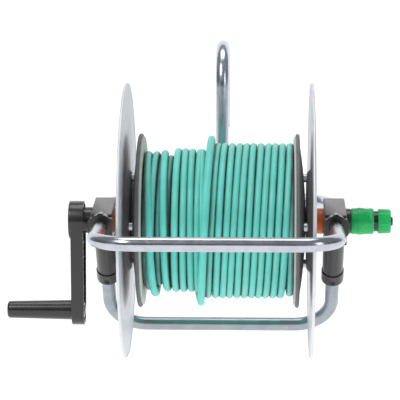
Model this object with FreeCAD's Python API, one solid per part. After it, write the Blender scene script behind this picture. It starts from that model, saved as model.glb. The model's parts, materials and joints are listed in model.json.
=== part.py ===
"""Garden hose reel that hangs by its hook mast.

Three bent tubes are held in two plastic side blocks. The drum, its two pressed side discs and the
crank turn as one on hubs in the blocks. Millimetres. The model is laid out about the axle, with X
along it, Y to the back and Z up, and is moved to the hanging leg of the hook mast when it is saved.
"""

import FreeCAD, Part
import math
import os

V = FreeCAD.Vector
X = V(1, 0, 0)
Y = V(0, 1, 0)
Z = V(0, 0, 1)
O = V(0, 0, 0)

# Driving dimensions
TUBE_R = 9.0
TUBE_WALL = 1.2
LEG_X = 150.0
BAR_REACH = 201.0
BEND_R = 50.0
LOWER_DEG = -53.0
LEG_START = 22.0

MAST_BEND_R = 52.0
MAST_TOP_Z = 220.0
HOOK_LEG = 64.0

DISC_X = 120.0
DISC_R = 179.0
DISC_T = 1.0
DISC_BEAD_R = 2.0
BOSS_R = 63.0
BOSS_IN = 6.0

FLANGE_X = 101.7
FLANGE_R = 113.0
FLANGE_DOME = 10.5
FLANGE_T = 2.0
CHEEK_X = 96.6
CHEEK_T = 2.4
CHEEK_R = 109.0
CORE_R = 76.2
CORE_WALL = 3.2

HOSE_R = 4.75
LAYER_STEP = 8.2
LAST_TURN_X = (-23.0, -10.0)
LAST_TURN_RISE = 9.85

TIE_PITCH_R = 56.0
TIE_R = 3.0
SLEEVE_R = 5.5
NUT_FLATS = 10.0
NUT_H = 5.0

BLOCK_W = 28.0
BLOCK_FRONT = 44.0
BLOCK_BACK = 38.0
BLOCK_TOP = (14.0, 25.0)
BLOCK_BOTTOM = 19.0
SOCKET_R = 14.5
LOWER_SOCKET = 111.0
REAR_SOCKET = 62.0
BUSH_WALL = 2.0

JOURNAL_R = 12.0
SHAFT_STEP = 1.9
HUB_BOSS_STEP = 4.1
COLLAR_WALL = 2.8
SQUARE = 14.0
WATER_R = 6.1

THREAD_BOSS_R = 13.4
RING_NUT_R = 17.5
RING_NUT_L = 17.0
RING_NUT_LOBES = 6
BOSS_L = 8.0
SNAP_T = 1.0
SNAP_RISE = 1.15

CRANK_THROW = 119.0
CRANK_FACE_X = 192.0
CRANK_T = 16.5
CRANK_BIG_R = 25.0
CRANK_SMALL_R = 19.5
GRIP_PIN_R = 5.0
GRIP_END_X = 277.0
GRIP_R = (13.0, 11.2)

SPIGOT_RIM = 2.45
SPIGOT_T = 6.0
NIPPLE_R = 8.0
CONNECTOR_R = 17.75
SLEEVE_L = 29.8
NECK_R = 13.4
NECK_L = 5.6
HOSE_NUT_R = 16.0
HOSE_NUT_L = 16.2
BARB_R = 6.0
BARB_BORE = 4.0
HOSE_NUT_RIBS = 20
CONNECTOR_L = 54.6
BARB_SMALL_R = 3.3
SMALL_BARB_END = 50.0
SCREW_R = 3.0
SCREW_L = 34.0
PIN_TAIL_R = 4.0
END_DEG = 75.0
END_X = -48.0

# Clearances
RUN = 0.05
FREE = 0.1
GAP = 0.3
SEAT = 0.02

MAST_Y = BAR_REACH
HOOK_Y = MAST_Y + 2 * MAST_BEND_R
BEND_Z = MAST_TOP_Z - TUBE_R - MAST_BEND_R
HOOK_END_Z = BEND_Z - HOOK_LEG
ORIGIN = V(0, HOOK_Y, BEND_Z - HOOK_LEG / 2)
BLOCK_IN = LEG_X - BLOCK_W / 2
BLOCK_OUT = LEG_X + BLOCK_W / 2
BUSH_R = JOURNAL_R + RUN + BUSH_WALL
HUB_SHAFT_R = JOURNAL_R + SHAFT_STEP
HUB_BOSS_R = HUB_SHAFT_R + HUB_BOSS_STEP
COLLAR_R = HUB_SHAFT_R + COLLAR_WALL
CENTRE_HOLE_R = HUB_SHAFT_R + FREE
SNAP_R = BUSH_R + SNAP_RISE
SPIGOT_R = BUSH_R + SPIGOT_RIM
BOSS_X = DISC_X - BOSS_IN
TIE_DEGS = (0, 90, 180, 270)
LAYER_R = [CORE_R + HOSE_R + i * LAYER_STEP for i in range(3)]
LAST_TURN_R = LAYER_R[2] + LAST_TURN_RISE
HUB_DEPTH = 4.6
SPIGOT_END = BLOCK_OUT + SPIGOT_T + 0.4
SNAP_X = BLOCK_OUT - 2.5
RIGHT_BUSH_L = BLOCK_W - 4.7

os.makedirs("parts", exist_ok=True)


def save(name, shape):
    """Writes one sub-part, moved so that the hanging leg is at the origin."""
    out = shape.copy()
    out.translate(-ORIGIN)
    if not out.isValid():
        print("not valid:", name)
    out.exportStep("parts/%s.step" % name)


def rod(radius, start, axis, length):
    return Part.makeCylinder(radius, length, start, axis)


def ring(outer, inner, start, axis, length):
    return rod(outer, start, axis, length).cut(rod(inner, start, axis, length))


def turned(points):
    """A solid turned about X from (x, radius) points of a closed outline."""
    corners = [V(x, r, 0) for x, r in points]
    face = Part.Face(Part.makePolygon(corners + corners[:1]))
    return face.revolve(O, X, 360)


def mirrored(shape):
    return shape.mirror(O, X)


def at_angle(radius, degrees, x=0.0):
    """The point at an angle about X, counted from the top towards the back."""
    a = math.radians(degrees)
    return V(x, radius * math.sin(a), radius * math.cos(a))


END_CENTRE = at_angle(LAYER_R[1] + HOSE_R + CONNECTOR_R + 0.25, END_DEG, END_X)
END_AXIS = V(0, math.cos(math.radians(END_DEG)), -math.sin(math.radians(END_DEG)))


def hexagon(flats, start, axis, length):
    """A hexagonal prism along X or Y."""
    corners = []
    for i in range(7):
        a = math.radians(60 * i + 30)
        r = flats / 2 / math.cos(math.radians(30))
        side = V(0, math.cos(a), math.sin(a)) if axis.x else V(math.cos(a), 0, math.sin(a))
        corners.append(start + side * r)
    return Part.Face(Part.makePolygon(corners)).extrude(axis * length)


def group(shapes):
    return Part.makeCompound(list(shapes))


def swept_tube(wire, start, tangent):
    """A round tube along a wire of straight runs and arcs."""
    outer = Part.Wire(Part.makeCircle(TUBE_R, start, tangent))
    inner = Part.Wire(Part.makeCircle(TUBE_R - TUBE_WALL, start, tangent))
    solid = wire.makePipeShell([outer], True, False)
    bore = wire.makePipeShell([inner], True, False)
    return solid.cut(bore)


def loop_tube():
    """One U loop in the plane z = 0, reaching out along +Y."""
    s = BEND_R * (1 - math.sqrt(0.5))
    corner_y = BAR_REACH - BEND_R
    corner_x = LEG_X - BEND_R
    points = [V(LEG_X, LEG_START, 0), V(LEG_X, corner_y, 0), V(LEG_X - s, BAR_REACH - s, 0),
              V(corner_x, BAR_REACH, 0), V(-corner_x, BAR_REACH, 0),
              V(s - LEG_X, BAR_REACH - s, 0), V(-LEG_X, corner_y, 0), V(-LEG_X, LEG_START, 0)]
    wire = Part.Wire([
        Part.LineSegment(points[0], points[1]).toShape(),
        Part.Arc(points[1], points[2], points[3]).toShape(),
        Part.LineSegment(points[3], points[4]).toShape(),
        Part.Arc(points[4], points[5], points[6]).toShape(),
        Part.LineSegment(points[6], points[7]).toShape()])
    return swept_tube(wire, points[0], Y)


def frame_loops():
    loop = loop_tube()
    save("rear_loop", loop)
    save("front_loop", loop.rotated(O, Z, 180))
    save("lower_loop", loop.rotated(O, X, LOWER_DEG))


def hook_mast():
    foot = V(0, MAST_Y, TUBE_R + GAP)
    knee = V(0, MAST_Y, BEND_Z)
    top = V(0, MAST_Y + MAST_BEND_R, BEND_Z + MAST_BEND_R)
    back = V(0, HOOK_Y, BEND_Z)
    end = V(0, HOOK_Y, HOOK_END_Z)
    wire = Part.Wire([Part.LineSegment(foot, knee).toShape(), Part.Arc(knee, top, back).toShape(),
                      Part.LineSegment(back, end).toShape()])
    save("hook_mast", swept_tube(wire, foot, Z))
    plug_len, head, head_r = 14.0, 3.0, TUBE_R - 0.4
    stem = rod(TUBE_R - TUBE_WALL - SEAT, end, Z, plug_len)
    cap = rod(head_r, end - Z * head, Z, head)
    rim = [e for e in cap.Edges if e.Closed and abs(e.CenterOfMass.z - HOOK_END_Z + head) < 0.01]
    cap = cap.makeFillet(head * 0.6, rim)
    save("hook_end_plug", stem.fuse(cap))


def mast_clamp():
    """Two moulded halves that grip the rear bar and the foot of the mast."""
    wall, half_w, ear, height, split = 4.5, 26.0, 22.0, 60.0, 0.4
    bolt_x, bolt_z, bolt_r, bolt_l, head_r, head_h = 19.0, 16.0, 2.5, 22.0, 4.5, 3.5
    half_t, corner_r, key_flats, key_depth, nut_flats, nut_h = 8.0, 5.0, 4.0, 2.2, 8.0, 4.0
    shell_r = TUBE_R + wall
    bar = V(0, MAST_Y, 0)
    body = rod(shell_r, bar - X * half_w, X, 2 * half_w)
    body = body.fuse(rod(shell_r, bar, Z, height))
    ears = Part.makeBox(2 * half_w, 2 * half_t, 2 * ear, bar - V(half_w, half_t, ear))
    ears = ears.makeFillet(corner_r, [e for e in ears.Edges if abs(e.tangentAt(0).y) > 0.9])
    body = body.fuse(ears)
    body = body.cut(rod(TUBE_R + SEAT, bar - X * 2 * half_w, X, 4 * half_w))
    body = body.cut(rod(TUBE_R + SEAT, bar, Z, 2 * height))
    spots = [(sx * bolt_x, sz * bolt_z) for sx in (-1, 1) for sz in (-1, 1)]
    for x, z in spots:
        body = body.cut(rod(bolt_r + FREE, V(x, MAST_Y - half_w, z), Y, 2 * half_w))
    size = 2 * height
    front = Part.makeBox(size, size, 2 * size, V(-size / 2, MAST_Y - split - size, -size))
    rear = Part.makeBox(size, size, 2 * size, V(-size / 2, MAST_Y + split, -size))
    save("mast_clamp_front", body.common(front))
    save("mast_clamp_rear", body.common(rear))
    bolts, nuts = [], []
    for x, z in spots:
        seat = V(x, MAST_Y - half_t, z)
        head = rod(head_r, seat - Y * head_h, Y, head_h)
        head = head.cut(hexagon(key_flats, seat - Y * head_h, Y, key_depth))
        bolts.append(head.fuse(rod(bolt_r, seat, Y, bolt_l)))
        nut = hexagon(nut_flats, V(x, MAST_Y + half_t, z), Y, nut_h)
        nuts.append(nut.cut(rod(bolt_r + SEAT, seat, Y, bolt_l)))
    save("mast_clamp_bolts", group(bolts))
    save("mast_clamp_nuts", group(nuts))


def socket(length):
    """A tube socket along +Y from the axle of the right block, with a wider band at its end."""
    band_l, taper, rim_r = 19.0, 0.8, 4.0
    cone = Part.makeCone(SOCKET_R, SOCKET_R - taper, length - band_l, V(LEG_X, 0, 0), Y)
    band = rod(SOCKET_R + 0.5, V(LEG_X, length - band_l, 0), Y, band_l)
    rim = [e for e in band.Edges if e.Closed and abs(e.CenterOfMass.y - length) < 0.01]
    return cone.fuse(band.makeFillet(rim_r, rim))


def block():
    """The right side block with its axle bore, three tube sockets and thread boss."""
    front_z, back_z = BLOCK_TOP
    step, edge, tab = 8.0, 1.2, V(3.0, 10.0, 12.0)
    profile = [(-BLOCK_FRONT, step - BLOCK_BOTTOM), (-BLOCK_FRONT, front_z), (BLOCK_BACK, back_z),
               (BLOCK_BACK, -BLOCK_BOTTOM), (step - BLOCK_FRONT, -BLOCK_BOTTOM)]
    outline = [V(BLOCK_IN, y, z) for y, z in profile]
    body = Part.Face(Part.makePolygon(outline + outline[:1])).extrude(X * BLOCK_W)
    body = body.makeChamfer(edge, body.Edges)
    body = body.fuse(socket(REAR_SOCKET)).fuse(socket(LOWER_SOCKET).rotated(O, X, LOWER_DEG))
    span = 400.0
    body = body.common(Part.makeBox(BLOCK_W + 2, span, span, V(BLOCK_IN - 1, -span / 2, -span / 2)))
    body = body.fuse(rod(THREAD_BOSS_R, V(LEG_X, -BLOCK_FRONT - BOSS_L, 0), Y, BOSS_L + edge))
    corner = V(BLOCK_OUT - tab.x, 1 - BLOCK_FRONT, -BLOCK_BOTTOM - tab.z / 2)
    body = body.fuse(Part.makeBox(tab.x, tab.y, tab.z, corner))
    body = body.cut(rod(BUSH_R + SEAT, V(BLOCK_IN - 5, 0, 0), X, BLOCK_W + 10))
    for x, away in ((BLOCK_IN, -X), (BLOCK_OUT, X)):
        body = body.cut(rod(COLLAR_R + 3, V(x, 0, 0), away, 5))
    bore = rod(TUBE_R + SEAT, V(LEG_X, LEG_START - 1, 0), Y, span)
    front_bore = rod(TUBE_R + RUN, V(LEG_X, 1 - LEG_START, 0), -Y, span)
    body = body.cut(bore).cut(bore.rotated(O, X, LOWER_DEG)).cut(front_bore)
    for turn, length in ((0, REAR_SOCKET), (LOWER_DEG, LOWER_SOCKET)):
        body = body.cut(loop_screw(length, SEAT).rotated(O, X, turn))
    groove = ring(SNAP_R + FREE, BUSH_R - 1, V(SNAP_X - FREE, 0, 0), X, SNAP_T + 2 * FREE)
    return body.cut(groove)


def loop_screw(length, clearance=0.0):
    """A set screw that presses on a tube from below, near the end of its socket."""
    y, head_r, head_h, shank_r, seat = length - 9.5, 3.8, 3.0, 2.0, TUBE_R + 2.0
    head = rod(head_r + clearance, V(LEG_X, y, -seat), -Z, 8.0 if clearance else head_h)
    shank = rod(shank_r + clearance, V(LEG_X, y, -seat - 0.5), Z, seat + 0.5 - TUBE_R)
    return head.fuse(shank)


def side_blocks():
    right = block()
    save("right_block", right)
    save("left_block", mirrored(right))
    screws = [loop_screw(REAR_SOCKET), loop_screw(LOWER_SOCKET).rotated(O, X, LOWER_DEG)]
    save("loop_screws", group(screws + [mirrored(s) for s in screws]))
    save("left_bush", mirrored(ring(BUSH_R, JOURNAL_R + RUN, V(BLOCK_IN, 0, 0), X, BLOCK_W)))
    save("right_bush", ring(BUSH_R, JOURNAL_R + RUN, V(BLOCK_IN, 0, 0), X, RIGHT_BUSH_L))
    washer = ring(COLLAR_R, JOURNAL_R + FREE, V(BLOCK_IN - 0.8, 0, 0), X, 0.7)
    save("thrust_washers", group([washer, mirrored(washer)]))


def ring_nuts():
    """Lobed nuts that squeeze a split collet onto each leg of the front loop."""
    seat_gap, lobe_r, dip, lip, play = 1.5, 5.0, 1.7, 4.5, 0.2
    front = V(LEG_X, -BLOCK_FRONT - seat_gap, 0)
    body = rod(RING_NUT_R - dip, front, -Y, RING_NUT_L)
    for i in range(RING_NUT_LOBES):
        a = math.radians(360.0 * i / RING_NUT_LOBES)
        offset = V(math.sin(a), 0, math.cos(a)) * (RING_NUT_R - lobe_r)
        body = body.fuse(rod(lobe_r, front + offset, -Y, RING_NUT_L))
    body = body.cut(rod(THREAD_BOSS_R + FREE, front, -Y, RING_NUT_L - lip))
    body = body.cut(rod(TUBE_R + FREE * 4, front, -Y, 2 * RING_NUT_L))
    save("ring_nut_right", body)
    save("ring_nut_left", mirrored(body))
    start = V(LEG_X, -BLOCK_FRONT - BOSS_L - play, 0)
    length = RING_NUT_L - lip + seat_gap - BOSS_L - 2 * play
    collet = ring(THREAD_BOSS_R - 0.5, TUBE_R + SEAT, start, -Y, length)
    collet = collet.cut(Part.makeBox(2, 60, 30, V(LEG_X - 1, -BLOCK_FRONT - 60, 0)))
    save("clamp_collets", group([collet, mirrored(collet)]))


def disc():
    """The pressed right side disc: a sunk boss, a stiffening ring and a rolled edge."""
    t, slope, ring_r, ring_w, ring_h = DISC_T, 5.0, 122.0, 6.0, 3.0
    centre = [(BOSS_X, CENTRE_HOLE_R), (BOSS_X, BOSS_R), (DISC_X, BOSS_R + slope), (DISC_X, ring_r),
              (DISC_X + ring_h, ring_r + ring_w / 2), (DISC_X + ring_h, ring_r + ring_w * 1.5),
              (DISC_X, ring_r + 2 * ring_w), (DISC_X, DISC_R - DISC_BEAD_R)]
    outline = [(x - t / 2, r) for x, r in centre] + [(x + t / 2, r) for x, r in reversed(centre)]
    sheet = turned(outline)
    for i in range(len(TIE_DEGS)):
        sheet = sheet.cut(rod(TIE_R + SEAT, at_angle(TIE_PITCH_R, TIE_DEGS[i], BOSS_X - 9), X, 18))
    bead = Part.makeTorus(DISC_R - DISC_BEAD_R, DISC_BEAD_R, V(DISC_X, 0, 0), X)
    return sheet.fuse(bead)


def dome_x(radius):
    return FLANGE_X + FLANGE_DOME * (1 - (radius / FLANGE_R) ** 2)


def flange():
    """The domed drum flange with its rolled rim."""
    rim_r = 2.4
    steps = [HUB_BOSS_R + RUN + (FLANGE_R - rim_r - HUB_BOSS_R) * i / 8 for i in range(9)]
    inner = [V(dome_x(r) - FLANGE_T, r, 0) for r in steps]
    outer = [V(dome_x(r), r, 0) for r in steps]
    curves = []
    for points in (inner, outer):
        line = Part.BSplineCurve()
        line.interpolate(points)
        curves.append(line.toShape())
    ends = [Part.LineSegment(inner[i], outer[i]).toShape() for i in (0, -1)]
    shell = Part.Face(Part.Wire(Part.sortEdges(curves + ends)[0])).revolve(O, X, 360)
    shell = shell.fuse(Part.makeTorus(FLANGE_R - rim_r, rim_r, V(FLANGE_X - 0.4, 0, 0), X))
    for degrees in TIE_DEGS:
        shell = shell.cut(rod(SLEEVE_R + FREE, at_angle(TIE_PITCH_R, degrees, CHEEK_X), X, 30))
    return shell


def cheek():
    plate = ring(CHEEK_R, HUB_BOSS_R + RUN, V(CHEEK_X, 0, 0), X, CHEEK_T)
    for degrees in TIE_DEGS:
        plate = plate.cut(rod(TIE_R + SEAT, at_angle(TIE_PITCH_R, degrees, CHEEK_X - 1), X, 5))
    return plate


def drum():
    for name, shape in (("disc", disc()), ("flange", flange()), ("cheek", cheek())):
        save("right_" + name, shape)
        save("left_" + name, mirrored(shape))
    core = ring(CORE_R, CORE_R - CORE_WALL, V(-CHEEK_X, 0, 0), X, 2 * CHEEK_X)
    slot = Part.makeBox(13.0, 20.0, 64.0, V(CHEEK_X - 17.0, -CORE_R - 2, -26.0))
    save("drum_core", core.cut(slot))
    rods, sleeves, nuts = [], [], []
    sleeve_x = CHEEK_X + CHEEK_T
    nut_x = BOSS_X + DISC_T / 2
    for degrees in TIE_DEGS:
        half = nut_x + NUT_H + 1.5
        rods.append(rod(TIE_R, at_angle(TIE_PITCH_R, degrees, -half), X, 2 * half))
        sleeve = ring(SLEEVE_R, TIE_R + SEAT, at_angle(TIE_PITCH_R, degrees, sleeve_x), X,
                      BOSS_X - DISC_T / 2 - sleeve_x)
        place = at_angle(TIE_PITCH_R, degrees, nut_x)
        nut = hexagon(NUT_FLATS, place, X, NUT_H).cut(rod(TIE_R + SEAT, place, X, NUT_H))
        sleeves += [sleeve, mirrored(sleeve)]
        nuts += [nut, mirrored(nut)]
    save("tie_rods", group(rods))
    save("spacer_sleeves", group(sleeves))
    save("tie_nuts", group(nuts))


def hubs():
    """Orange hubs: the left one drives the drum, the right one carries the water."""
    inner_x, cheek_x, boss_r = CHEEK_X - HUB_DEPTH, CHEEK_X + CHEEK_T, HUB_BOSS_R + 6.0
    dome_in = dome_x(boss_r) - FLANGE_T - FREE
    face_x, collar_x = BOSS_X - DISC_T / 2, BOSS_X + DISC_T / 2
    collar_end = BLOCK_IN - 1.0
    body = [(inner_x, 0), (inner_x, HUB_BOSS_R), (cheek_x, HUB_BOSS_R), (cheek_x, boss_r),
            (dome_in, boss_r), (dome_in, HUB_BOSS_R), (face_x, HUB_BOSS_R), (face_x, HUB_SHAFT_R),
            (collar_end, HUB_SHAFT_R), (collar_end, JOURNAL_R)]
    left = mirrored(turned(body + [(BLOCK_OUT + 0.5, JOURNAL_R), (BLOCK_OUT + 0.5, 0)]))
    square_l = CRANK_FACE_X - 6.0 - BLOCK_OUT - 0.5
    square = Part.makeBox(square_l, SQUARE, SQUARE, V(6.0 - CRANK_FACE_X, -SQUARE / 2, -SQUARE / 2))
    left = left.fuse(square).cut(rod(SCREW_R + SEAT, V(-CRANK_FACE_X, 0, 0), X, SCREW_L + 1))
    end = BLOCK_IN + RIGHT_BUSH_L
    right = turned(body + [(end, JOURNAL_R), (end, 0)])
    right = right.cut(rod(WATER_R, V(inner_x - 1, 0, 0), X, end))
    save("left_hub", left)
    save("right_hub", right)
    edge = 0.8
    collar = turned([(collar_x, HUB_SHAFT_R + RUN), (collar_x, COLLAR_R), (collar_end - edge, COLLAR_R),
                     (collar_end, COLLAR_R - edge), (collar_end, HUB_SHAFT_R + RUN)])
    save("right_hub_collar", collar)
    save("left_hub_collar", mirrored(collar))


def outlet_elbow():
    """Leads the water from the right hub out to the first turn of the hose."""
    body_r, bore_r, bend_x, degrees = 7.5, 3.0, CHEEK_X - 12.6, -45.0
    reach = CORE_R - CORE_WALL - 2 * body_r
    bend = V(bend_x, 0, 0)
    out = at_angle(1.0, degrees)
    knee = bend + out * reach
    along = V(0, -out.z, out.y)
    if along.z > 0:
        along = -along
    body = rod(WATER_R - RUN, V(CHEEK_X - 5, 0, 0), X, 14.0)
    body = body.fuse(rod(body_r, bend, X, CHEEK_X - HUB_DEPTH - bend_x)).fuse(rod(body_r, bend, out, reach))
    for spot in (bend, knee):
        body = body.fuse(Part.makeSphere(body_r, spot))
    body = body.fuse(rod(BARB_SMALL_R, knee, along, 24.0))
    for start, axis, length in ((bend, X, 40), (bend, out, reach), (knee, along, 30)):
        body = body.cut(rod(min(bore_r, BARB_SMALL_R - 1.0), start, axis, length))
    save("outlet_elbow", body)


def hose():
    """The outer shape of the wound hose, and the tail that runs to its end connector."""
    inner, outer = LAYER_R[1] + HOSE_R, LAYER_R[2] + HOSE_R
    left, right = LAST_TURN_X[0] - HOSE_R, LAST_TURN_X[1] + HOSE_R
    top = LAST_TURN_R + HOSE_R
    outline = [(-CHEEK_X, CORE_R), (-CHEEK_X, inner), (left, inner), (left, top), (right, top),
               (right, outer), (CHEEK_X, outer), (CHEEK_X, CORE_R)]
    save("hose_coil", turned(outline))
    start = END_CENTRE + END_AXIS * (SMALL_BARB_END - CONNECTOR_L / 2)
    end = at_angle(LAST_TURN_R, 150.0, LAST_TURN_X[0] - 2)
    chord = end - start
    side = chord - END_AXIS * chord.dot(END_AXIS)
    side.normalize()
    bend = chord.dot(chord) / (2 * chord.dot(side))
    centre = start + side * bend
    out = (start + end) * 0.5 - centre
    out.normalize()
    arc = Part.Wire(Part.Arc(start, centre + out * bend, end).toShape())
    print("tail bend radius", round(bend, 1))
    circle = Part.Wire(Part.makeCircle(HOSE_R, start, END_AXIS))
    save("hose_tail", arc.makePipeShell([circle], True, False))


def connector(barb_r, barb_end):
    """A quick connector along +X, its socket mouth at x = 0, as named pieces."""
    socket_r, body_r, shoulder, nut_x = NIPPLE_R + FREE, 11.6, 29.3, SLEEVE_L + NECK_L + 0.1
    thread_r, thread_end, root, seal_x, seal_r = 12.6, 46.0, 37.0, 14.0, 0.8
    groove = (seal_x - seal_r - FREE, seal_x + seal_r + FREE, socket_r + 2 * seal_r)
    bore = barb_r - 1.2 if barb_r < BARB_R else BARB_BORE
    core = turned([(0.6, socket_r), (0.6, body_r), (shoulder, body_r), (shoulder, NECK_R),
                   (nut_x - 0.1, NECK_R), (nut_x - 0.1, thread_r), (thread_end, thread_r),
                   (thread_end, 9.9), (root, 9.9), (root, barb_r), (barb_end - 1, barb_r),
                   (barb_end, barb_r - 0.6), (barb_end, bore), (19.0, bore), (19.0, socket_r),
                   (groove[1], socket_r), (groove[1], groove[2]), (groove[0], groove[2]),
                   (groove[0], socket_r)])
    claws = []
    for degrees in (0, 120, 240):
        slot = Part.makeBox(4.4, 8.0, 8.0, V(4.8, -4.0, socket_r - 2)).rotated(O, X, degrees)
        claw = Part.makeBox(4.0, 7.6, 4.4, V(5.0, -3.8, NIPPLE_R - 0.9)).rotated(O, X, degrees)
        core = core.cut(slot)
        claws.append(claw.common(rod(body_r, O, X, 20)))
    seal = Part.makeTorus(NIPPLE_R + RUN + seal_r, seal_r, V(seal_x, 0, 0), X)
    wire_r, coil_r, spring_x = 0.6, (body_r + NECK_R) / 2, 20.3
    helix = Part.makeHelix(2.2, shoulder - spring_x - 2 * wire_r - 0.2, coil_r)
    start = Part.Wire(Part.makeCircle(wire_r, V(coil_r, 0, 0), Y))
    spring = Part.Wire(helix).makePipeShell([start], True, True)
    spring = spring.rotated(O, Y, 90).translated(V(spring_x + wire_r, 0, 0))
    sleeve = turned([(0, 12.1), (0, 15.4), (0.9, 16.25), (10.0, CONNECTOR_R), (12.0, 17.3),
                     (SLEEVE_L - 1, 16.6), (SLEEVE_L, 16.0), (SLEEVE_L, NECK_R + FREE),
                     (20.0, NECK_R + FREE), (20.0, body_r + FREE), (13.0, body_r + FREE), (13.0, 12.1)])
    nut = turned([(nut_x, thread_r + FREE), (nut_x, 15.2), (nut_x + 0.8, HOSE_NUT_R),
                  (nut_x + HOSE_NUT_L - 1.2, 15.5), (nut_x + HOSE_NUT_L, 14.6),
                  (nut_x + HOSE_NUT_L, 9.0), (thread_end + 1, 9.0), (thread_end + 1, thread_r + FREE)])
    for i in range(HOSE_NUT_RIBS):
        cutter = rod(0.8, V(nut_x - 1, 0, HOSE_NUT_R + 0.1), X, HOSE_NUT_L - 2)
        nut = nut.cut(cutter.rotated(O, X, 360.0 * i / HOSE_NUT_RIBS))
    collet = ring(9.8, 8.4, V(root + 1.5, 0, 0), X, 8.0)
    for degrees in (0, 90):
        collet = collet.cut(Part.makeBox(6.0, 1.2, 30, V(root + 4.5, -0.6, -15)).rotated(O, X, degrees))
    return {"core": core, "claws": group(claws), "seal": seal, "spring": spring,
            "release_sleeve": sleeve, "nut": nut, "collet": collet}


def connectors():
    for name, shape in connector(BARB_R, CONNECTOR_L).items():
        save("inlet_" + name, shape.translated(V(SPIGOT_END, 0, 0)))
    turn = FreeCAD.Rotation(X, END_AXIS)
    for name, shape in connector(BARB_SMALL_R, SMALL_BARB_END).items():
        placed = shape.translated(V(-CONNECTOR_L / 2, 0, 0))
        placed.Placement = FreeCAD.Placement(END_CENTRE, turn).multiply(placed.Placement)
        save("hose_end_" + name, placed)


def inlet_spigot():
    """The stationary water inlet: a tube in the right hub, a flange and a nipple."""
    tube_r, bore_r, tip_x, collar_x, seal_r = WATER_R - FREE, 3.5, BOSS_X, SNAP_X - 1.6, 0.85
    collar_r, root_r, seals = BUSH_R - RUN, SNAP_R - 2.7, (BOSS_X + 6, BOSS_X + 14)
    outline = [(tip_x, bore_r), (tip_x, tube_r)]
    for x in seals:
        low, deep = seal_r + FREE, tube_r - 2 * seal_r
        outline += [(x - low, tube_r), (x - low, deep), (x + low, deep), (x + low, tube_r)]
    outline += [(collar_x, tube_r), (collar_x, collar_r), (SNAP_X - FREE, collar_r),
                (SNAP_X - FREE, root_r), (SNAP_X + SNAP_T + FREE, root_r),
                (SNAP_X + SNAP_T + FREE, collar_r), (BLOCK_OUT, collar_r), (BLOCK_OUT, SPIGOT_R),
                (BLOCK_OUT + SPIGOT_T, SPIGOT_R), (BLOCK_OUT + SPIGOT_T, NIPPLE_R),
                (SPIGOT_END + 4.5, NIPPLE_R), (SPIGOT_END + 4.5, NIPPLE_R - 1),
                (SPIGOT_END + 9.5, NIPPLE_R - 1), (SPIGOT_END + 9.5, NIPPLE_R),
                (SPIGOT_END + 17.0, NIPPLE_R), (SPIGOT_END + 18.0, NIPPLE_R - 1),
                (SPIGOT_END + 18.0, bore_r)]
    save("inlet_spigot", turned(outline))
    rings = [Part.makeTorus(tube_r - seal_r, seal_r, V(x, 0, 0), X) for x in seals]
    save("spigot_seals", group(rings))
    snap = ring(SNAP_R, root_r + FREE, V(SNAP_X, 0, 0), X, SNAP_T)
    save("snap_ring", snap.cut(Part.makeBox(10, 6, 30, V(SNAP_X - 5, -3, 0))))


def arm_prism(big_r, small_r, x, depth):
    """The outline round the axle and the grip pin, extruded along +X."""
    low = V(x, 0, -CRANK_THROW)
    body = rod(big_r, V(x, 0, 0), X, depth).fuse(rod(small_r, low, X, depth))
    drop = (big_r - small_r) / CRANK_THROW
    side = math.sqrt(1 - drop * drop)
    corners = [V(x, s * r * side, z - r * drop)
               for s, r, z in ((1, big_r, 0), (1, small_r, -CRANK_THROW),
                               (-1, small_r, -CRANK_THROW), (-1, big_r, 0))]
    plate = Part.Face(Part.makePolygon(corners + corners[:1])).extrude(X * depth)
    return body.fuse(plate).removeSplitter()


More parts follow.
